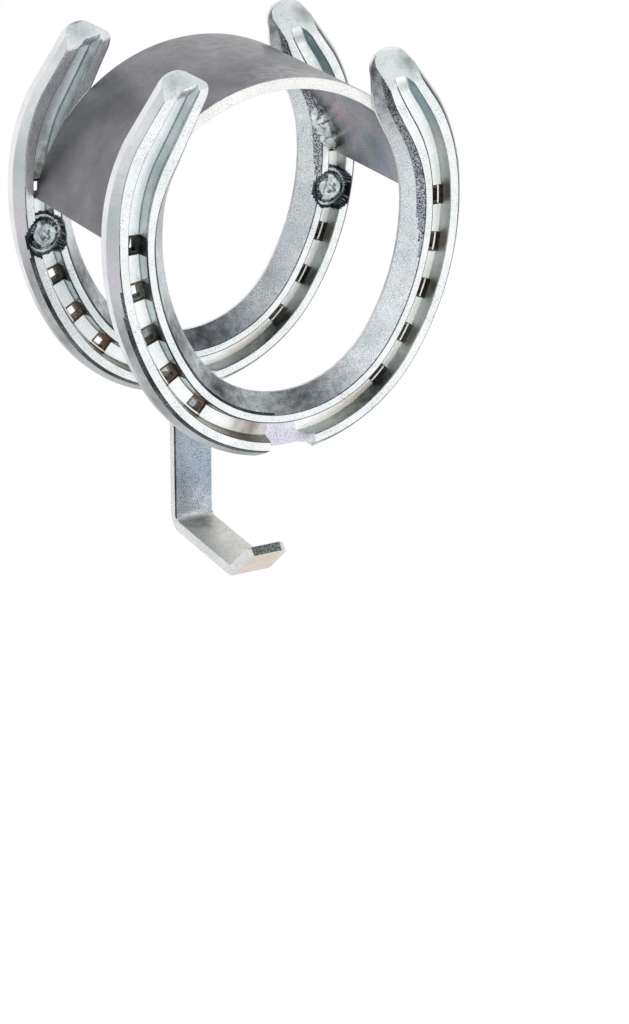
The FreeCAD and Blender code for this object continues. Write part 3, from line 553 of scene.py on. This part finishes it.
def bead(name, line, radius, limit, burns=()):
    """A rod of weld metal along a line, in ripples; nothing passes the limits in Y."""
    lengths = [0.0]
    for a, b in zip(line, line[1:]):
        lengths.append(lengths[-1] + (b - a).length)
    mesh = bmesh.new()
    rod = bmesh.ops.create_circle(mesh, cap_ends=True, segments=28, radius=1.0)["verts"]
    end = rod[0].link_faces[0]
    for _ in range(70):
        end = drawn_out(mesh, end, (0, 0, lengths[-1] / 70))
    for vert in mesh.verts:
        way = min(max(vert.co.z, 0.0), lengths[-1] - 0.001)
        i = max(j for j in range(len(line) - 1) if lengths[j] <= way + 1e-6)
        along = (line[i + 1] - line[i]).normalized()
        across = along.cross(Vector((0, 1, 0))).normalized()
        centre = line[i] + along * (way - lengths[i])
        round_end = math.sqrt(max(1 - abs(2 * way / lengths[-1] - 1) ** 3, 0.02))
        size = radius * round_end * (0.86 + 0.14 * ((way / RIPPLE) % 1.0))
        size *= 1 - 0.16 * math.exp(-((way / lengths[-1] - 0.62) / 0.05) ** 2)
        spot = centre + (across * vert.co.x + along.cross(across) * vert.co.y) * size
        spot = spot.lerp(centre, 0.22 * (0.5 + 0.5 * noise.noise(spot * 0.55)))
        spot.y = min(max(spot.y, limit[0]), limit[1])
        vert.co = spot
    metal = bright_zinc(name + "_weld_metal", "ffffff", "d3dedb", 0.18, 1.6, 0.3, 0.8, 3.0, 0.10,
                        burns, "1c211f")
    return finished(name + "_plated", mesh, [metal], 60.0)


def in_corner(radius, start, end, side, y):
    """Line along a corner of the band, by degrees from its top."""
    return [Vector((side * radius * math.sin(a), y, BAND_CENTRE + radius * math.cos(a)))
            for a in (math.radians(start + (end - start) * k / 8) for k in range(9))]


for node, line, radius, limit, burns in (
        ("arch_back_weld_left", in_corner(57.5, 58, 76, -1, -8.4), 4.9, (-12.8, -3.6), [
            ("6f5a48", (-56, -10, 72), 6)]),
        ("arch_back_weld_right", in_corner(57.2, 58, 76, 1, -8.4), 5.2, (-13.2, -3.6), [
            ("4a2e20", (55.5, -11, 72), 8), ("39413f", (53.4, -11, 78.5), 3.5)]),
        ("arch_front_weld_left", in_corner(62, 49, 69, -1, -71), 4.8, (-71.95, -66), []),
        ("arch_front_weld_right", in_corner(57.6, 49, 69, 1, -71), 4.8, (-71.95, -66), []),
        ("hook_weld", [Vector((x, -5.5, -7.8)) for x in (-6.2, 0, 6.2)], 2.9, (-8.6, -2.8), [])):
    laid = bead(node, line, radius, limit, burns)
    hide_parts(node)
    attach(laid, "root")


# ---- Wall screws: plated pan heads with a cross recess, set down on the milled seats in the back
# shoe's crease. The shank passes the punched hole and the thread goes into the wall.
def wall_screw(name, side):
    head, shank, thread, top, tip = 5.2, 1.95, 2.25, -6.7, 26.6
    mesh = bmesh.new()
    line = [mesh.verts.new((r, y, 0)) for r, y in (
        (0, top), (head, top), (head, -FLOOR), (shank, -FLOOR), (shank, 0), (thread, 0.1),
        (thread, 21.7), (0, tip))]
    edges = [mesh.edges.new(pair) for pair in zip(line, line[1:])]
    for edge, cuts in ((edges[0], 39), (edges[1], 10), (edges[5], 87), (edges[6], 14)):
        bmesh.ops.subdivide_edges(mesh, edges=[edge], cuts=cuts)
    bmesh.ops.spin(mesh, geom=mesh.verts[:] + mesh.edges[:], cent=(0, 0, 0), axis=(0, 1, 0),
                   angle=math.tau, steps=56, dvec=(0, 0, 0), use_merge=True, use_duplicate=False)
    bmesh.ops.remove_doubles(mesh, verts=mesh.verts, dist=0.001)
    for vert in mesh.verts:
        x, y, z = vert.co
        r = math.hypot(x, z)
        if y < -6.6:
            u, v = abs(x), abs(z)
            u, v = (u + v) * 0.7071, abs(u - v) * 0.7071
            slot = (1 - step(min(u, v), 0.45, 0.7)) * (1 - step(max(u, v), 1.5, 2.2))
            y = -6.68 + 1.9 * (r / head) ** 3.4 + 1.3 * slot + 0.35 * (1 - step(r, 3.0, 3.3))
        elif y < -3.5:
            y = -4.8 + (y + 6.7) * 1.4 / 3.3
        elif y > 0.05 and r > 0.1:
            swell = abs(((y / 1.8 - math.atan2(z, x) / math.tau) % 1.0) * 2 - 1)
            x, z = [c * (r - 0.5 * (1 - swell) * min(1, r / thread)) / r for c in (x, z)]
        vert.co = Vector((side * SEAT[0] + x, y, SEAT[1] + z))
    metal = bright_zinc(name + "_plated_head", "f4fafb", "b8c4c7", 0.14, 1.2, 0.3, 0.3, bump=0.01)
    return finished(name + "_plated", mesh, [metal], 50.0)


for node, side in (("wall_screw_left", -1), ("wall_screw_right", 1)):
    made = wall_screw(node, side)
    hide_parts(node)
    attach(made, "root")


# ---- Wall: a plain white board behind the rack, which hides the screws' points as the real wall
# does. It shows only from the front, so that the rack's back can be looked at.
def wall_board():
    mesh = bmesh.new()
    upright = Matrix.Rotation(math.radians(90), 4, "X")
    bmesh.ops.create_grid(mesh, x_segments=1, y_segments=1, size=140,
                          matrix=Matrix.Translation((0, 0.4, 50)) @ upright)
    paint = bpy.data.materials.new("white_wall_paint")
    paint.use_nodes = True
    tree = paint.node_tree
    tree.nodes.clear()
    facing = add(tree, "ShaderNodeNewGeometry")
    white = add(tree, "ShaderNodeEmission", {"Color": linear("ffffff"), "Strength": 1.0})
    clear = add(tree, "ShaderNodeBsdfTransparent")
    mixed = add(tree, "ShaderNodeMixShader",
                {0: facing.outputs["Backfacing"], 1: white.outputs[0], 2: clear.outputs[0]})
    add(tree, "ShaderNodeOutputMaterial", {"Surface": mixed.outputs[0]})
    data = bpy.data.meshes.new("wall_board")
    bmesh.ops.scale(mesh, vec=Vector((MM, MM, MM)), verts=mesh.verts)
    mesh.to_mesh(data)
    mesh.free()
    data.materials.append(paint)
    made = bpy.data.objects.new("wall_board", data)
    bpy.context.scene.collection.objects.link(made)
    return made


wall_board()


# ---- Camera: where the photograph was taken from, worked out from the two shoes' outlines.
turn, lift = math.radians(-28.96), math.radians(21.86)
right = Vector((math.cos(turn), math.sin(turn), 0))
back = Vector((math.sin(turn) * math.cos(lift), -math.cos(turn) * math.cos(lift), math.sin(lift)))
up = back.cross(right)
px_per_mm, distance = 2.956, 1340.0
# the front shoe's toe and the picture's middle in pixels, and the picture's height
toe_across, toe_down, middle_across, middle_down, picture_height = 293.49, 426.75, 314.5, 512, 1024
sensor = 36
toe = Vector((0, FRONT_FOOT - THICK, 0))
spot = (toe - right * ((toe_across - middle_across) / px_per_mm)
        - up * ((middle_down - toe_down) / px_per_mm) + back * distance)
camera = bpy.data.objects.new("camera", bpy.data.cameras.new("camera"))
camera.data.lens = px_per_mm * distance * sensor / picture_height
camera.data.sensor_width = sensor
camera.data.clip_start, camera.data.clip_end = 0.05, 20
camera.matrix_world = Matrix.Translation(spot * MM) @ Matrix((right, up, back)).transposed().to_4x4()
bpy.context.scene.collection.objects.link(camera)
bpy.context.scene.camera = camera


# ---- Light: a plain white surround with soft panels, as in a product photograph.
def panel(name, direction, size, power):
    """Square area light, a metre away, that faces the middle of the rack."""
    lamp = bpy.data.lights.new(name, "AREA")
    lamp.shape, lamp.size, lamp.energy = "SQUARE", size, power
    made = bpy.data.objects.new(name, lamp)
    made.location = Vector(direction).normalized() + Vector((0, -0.04, 0.03))
    made.rotation_mode = "QUATERNION"
    made.rotation_quaternion = Vector(direction).to_track_quat("Z", "Y")
    bpy.context.scene.collection.objects.link(made)


panel("key_panel", (-0.6, -0.4, 0.8), 1.0, 0.8)
panel("low_panel", (0.45, -0.8, -0.38), 1.4, 0.9)

world = bpy.data.worlds.new("surround")
bpy.context.scene.world = world
world.use_nodes = True
tree = world.node_tree
tree.nodes.clear()
rays = add(tree, "ShaderNodeLightPath")
level = add(tree, "ShaderNodeMapRange",
            {"Value": rays.outputs["Is Camera Ray"], "To Min": 0.96, "To Max": 1.0})
white = add(tree, "ShaderNodeBackground",
            {"Color": linear("ffffff"), "Strength": level.outputs[0]})
add(tree, "ShaderNodeOutputWorld", {"Surface": white.outputs[0]})

bpy.context.scene.view_settings.view_transform = "Standard"
